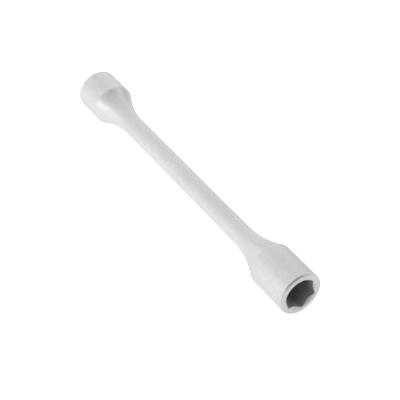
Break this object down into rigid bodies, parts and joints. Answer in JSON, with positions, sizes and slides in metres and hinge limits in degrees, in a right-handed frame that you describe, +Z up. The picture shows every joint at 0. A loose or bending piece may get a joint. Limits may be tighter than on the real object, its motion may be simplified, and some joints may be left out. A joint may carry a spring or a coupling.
{
  "type": "torque-limiting wheel-nut socket bar",
  "caption": "Straight lug wrench for an impact gun: a six-point wheel-nut socket and a square-drive head joined by a thin torsion shank with flared ends.",
  "frame": {"origin": "midway between the drive face and the socket mouth, under the tool's axis, on the surface that its two round heads rest on", "axes": "+X along the tool's axis, out of the socket's mouth; +Z up; the flats of the square drive hole are parallel to the XY and XZ planes"},
  "size_m": [0.245, 0.029, 0.029],
  "materials": {
    "socket_coat": "satin silver-grey enamel over alloy steel, with bare dark oiled steel inside the hex",
    "shank_coat": "satin silver-grey enamel over alloy steel",
    "drive_coat": "satin silver-grey enamel over alloy steel, with bare dark oiled steel inside the square"
  },
  "bodies": {
    "drive_side": {"drive_head": "drive_coat", "torsion_shank": "shank_coat"},
    "socket_side": {"socket_head": "socket_coat"}
  },
  "joints": [
    {"name": "shank_windup", "type": "hinge", "parent": "drive_side", "child": "socket_side", "pos_m": [0.0922, 0, 0.0145], "axis": [1, 0, 0], "range_deg": [-12, 12], "stiffness_Nm_per_rad": 1700}
  ]
}
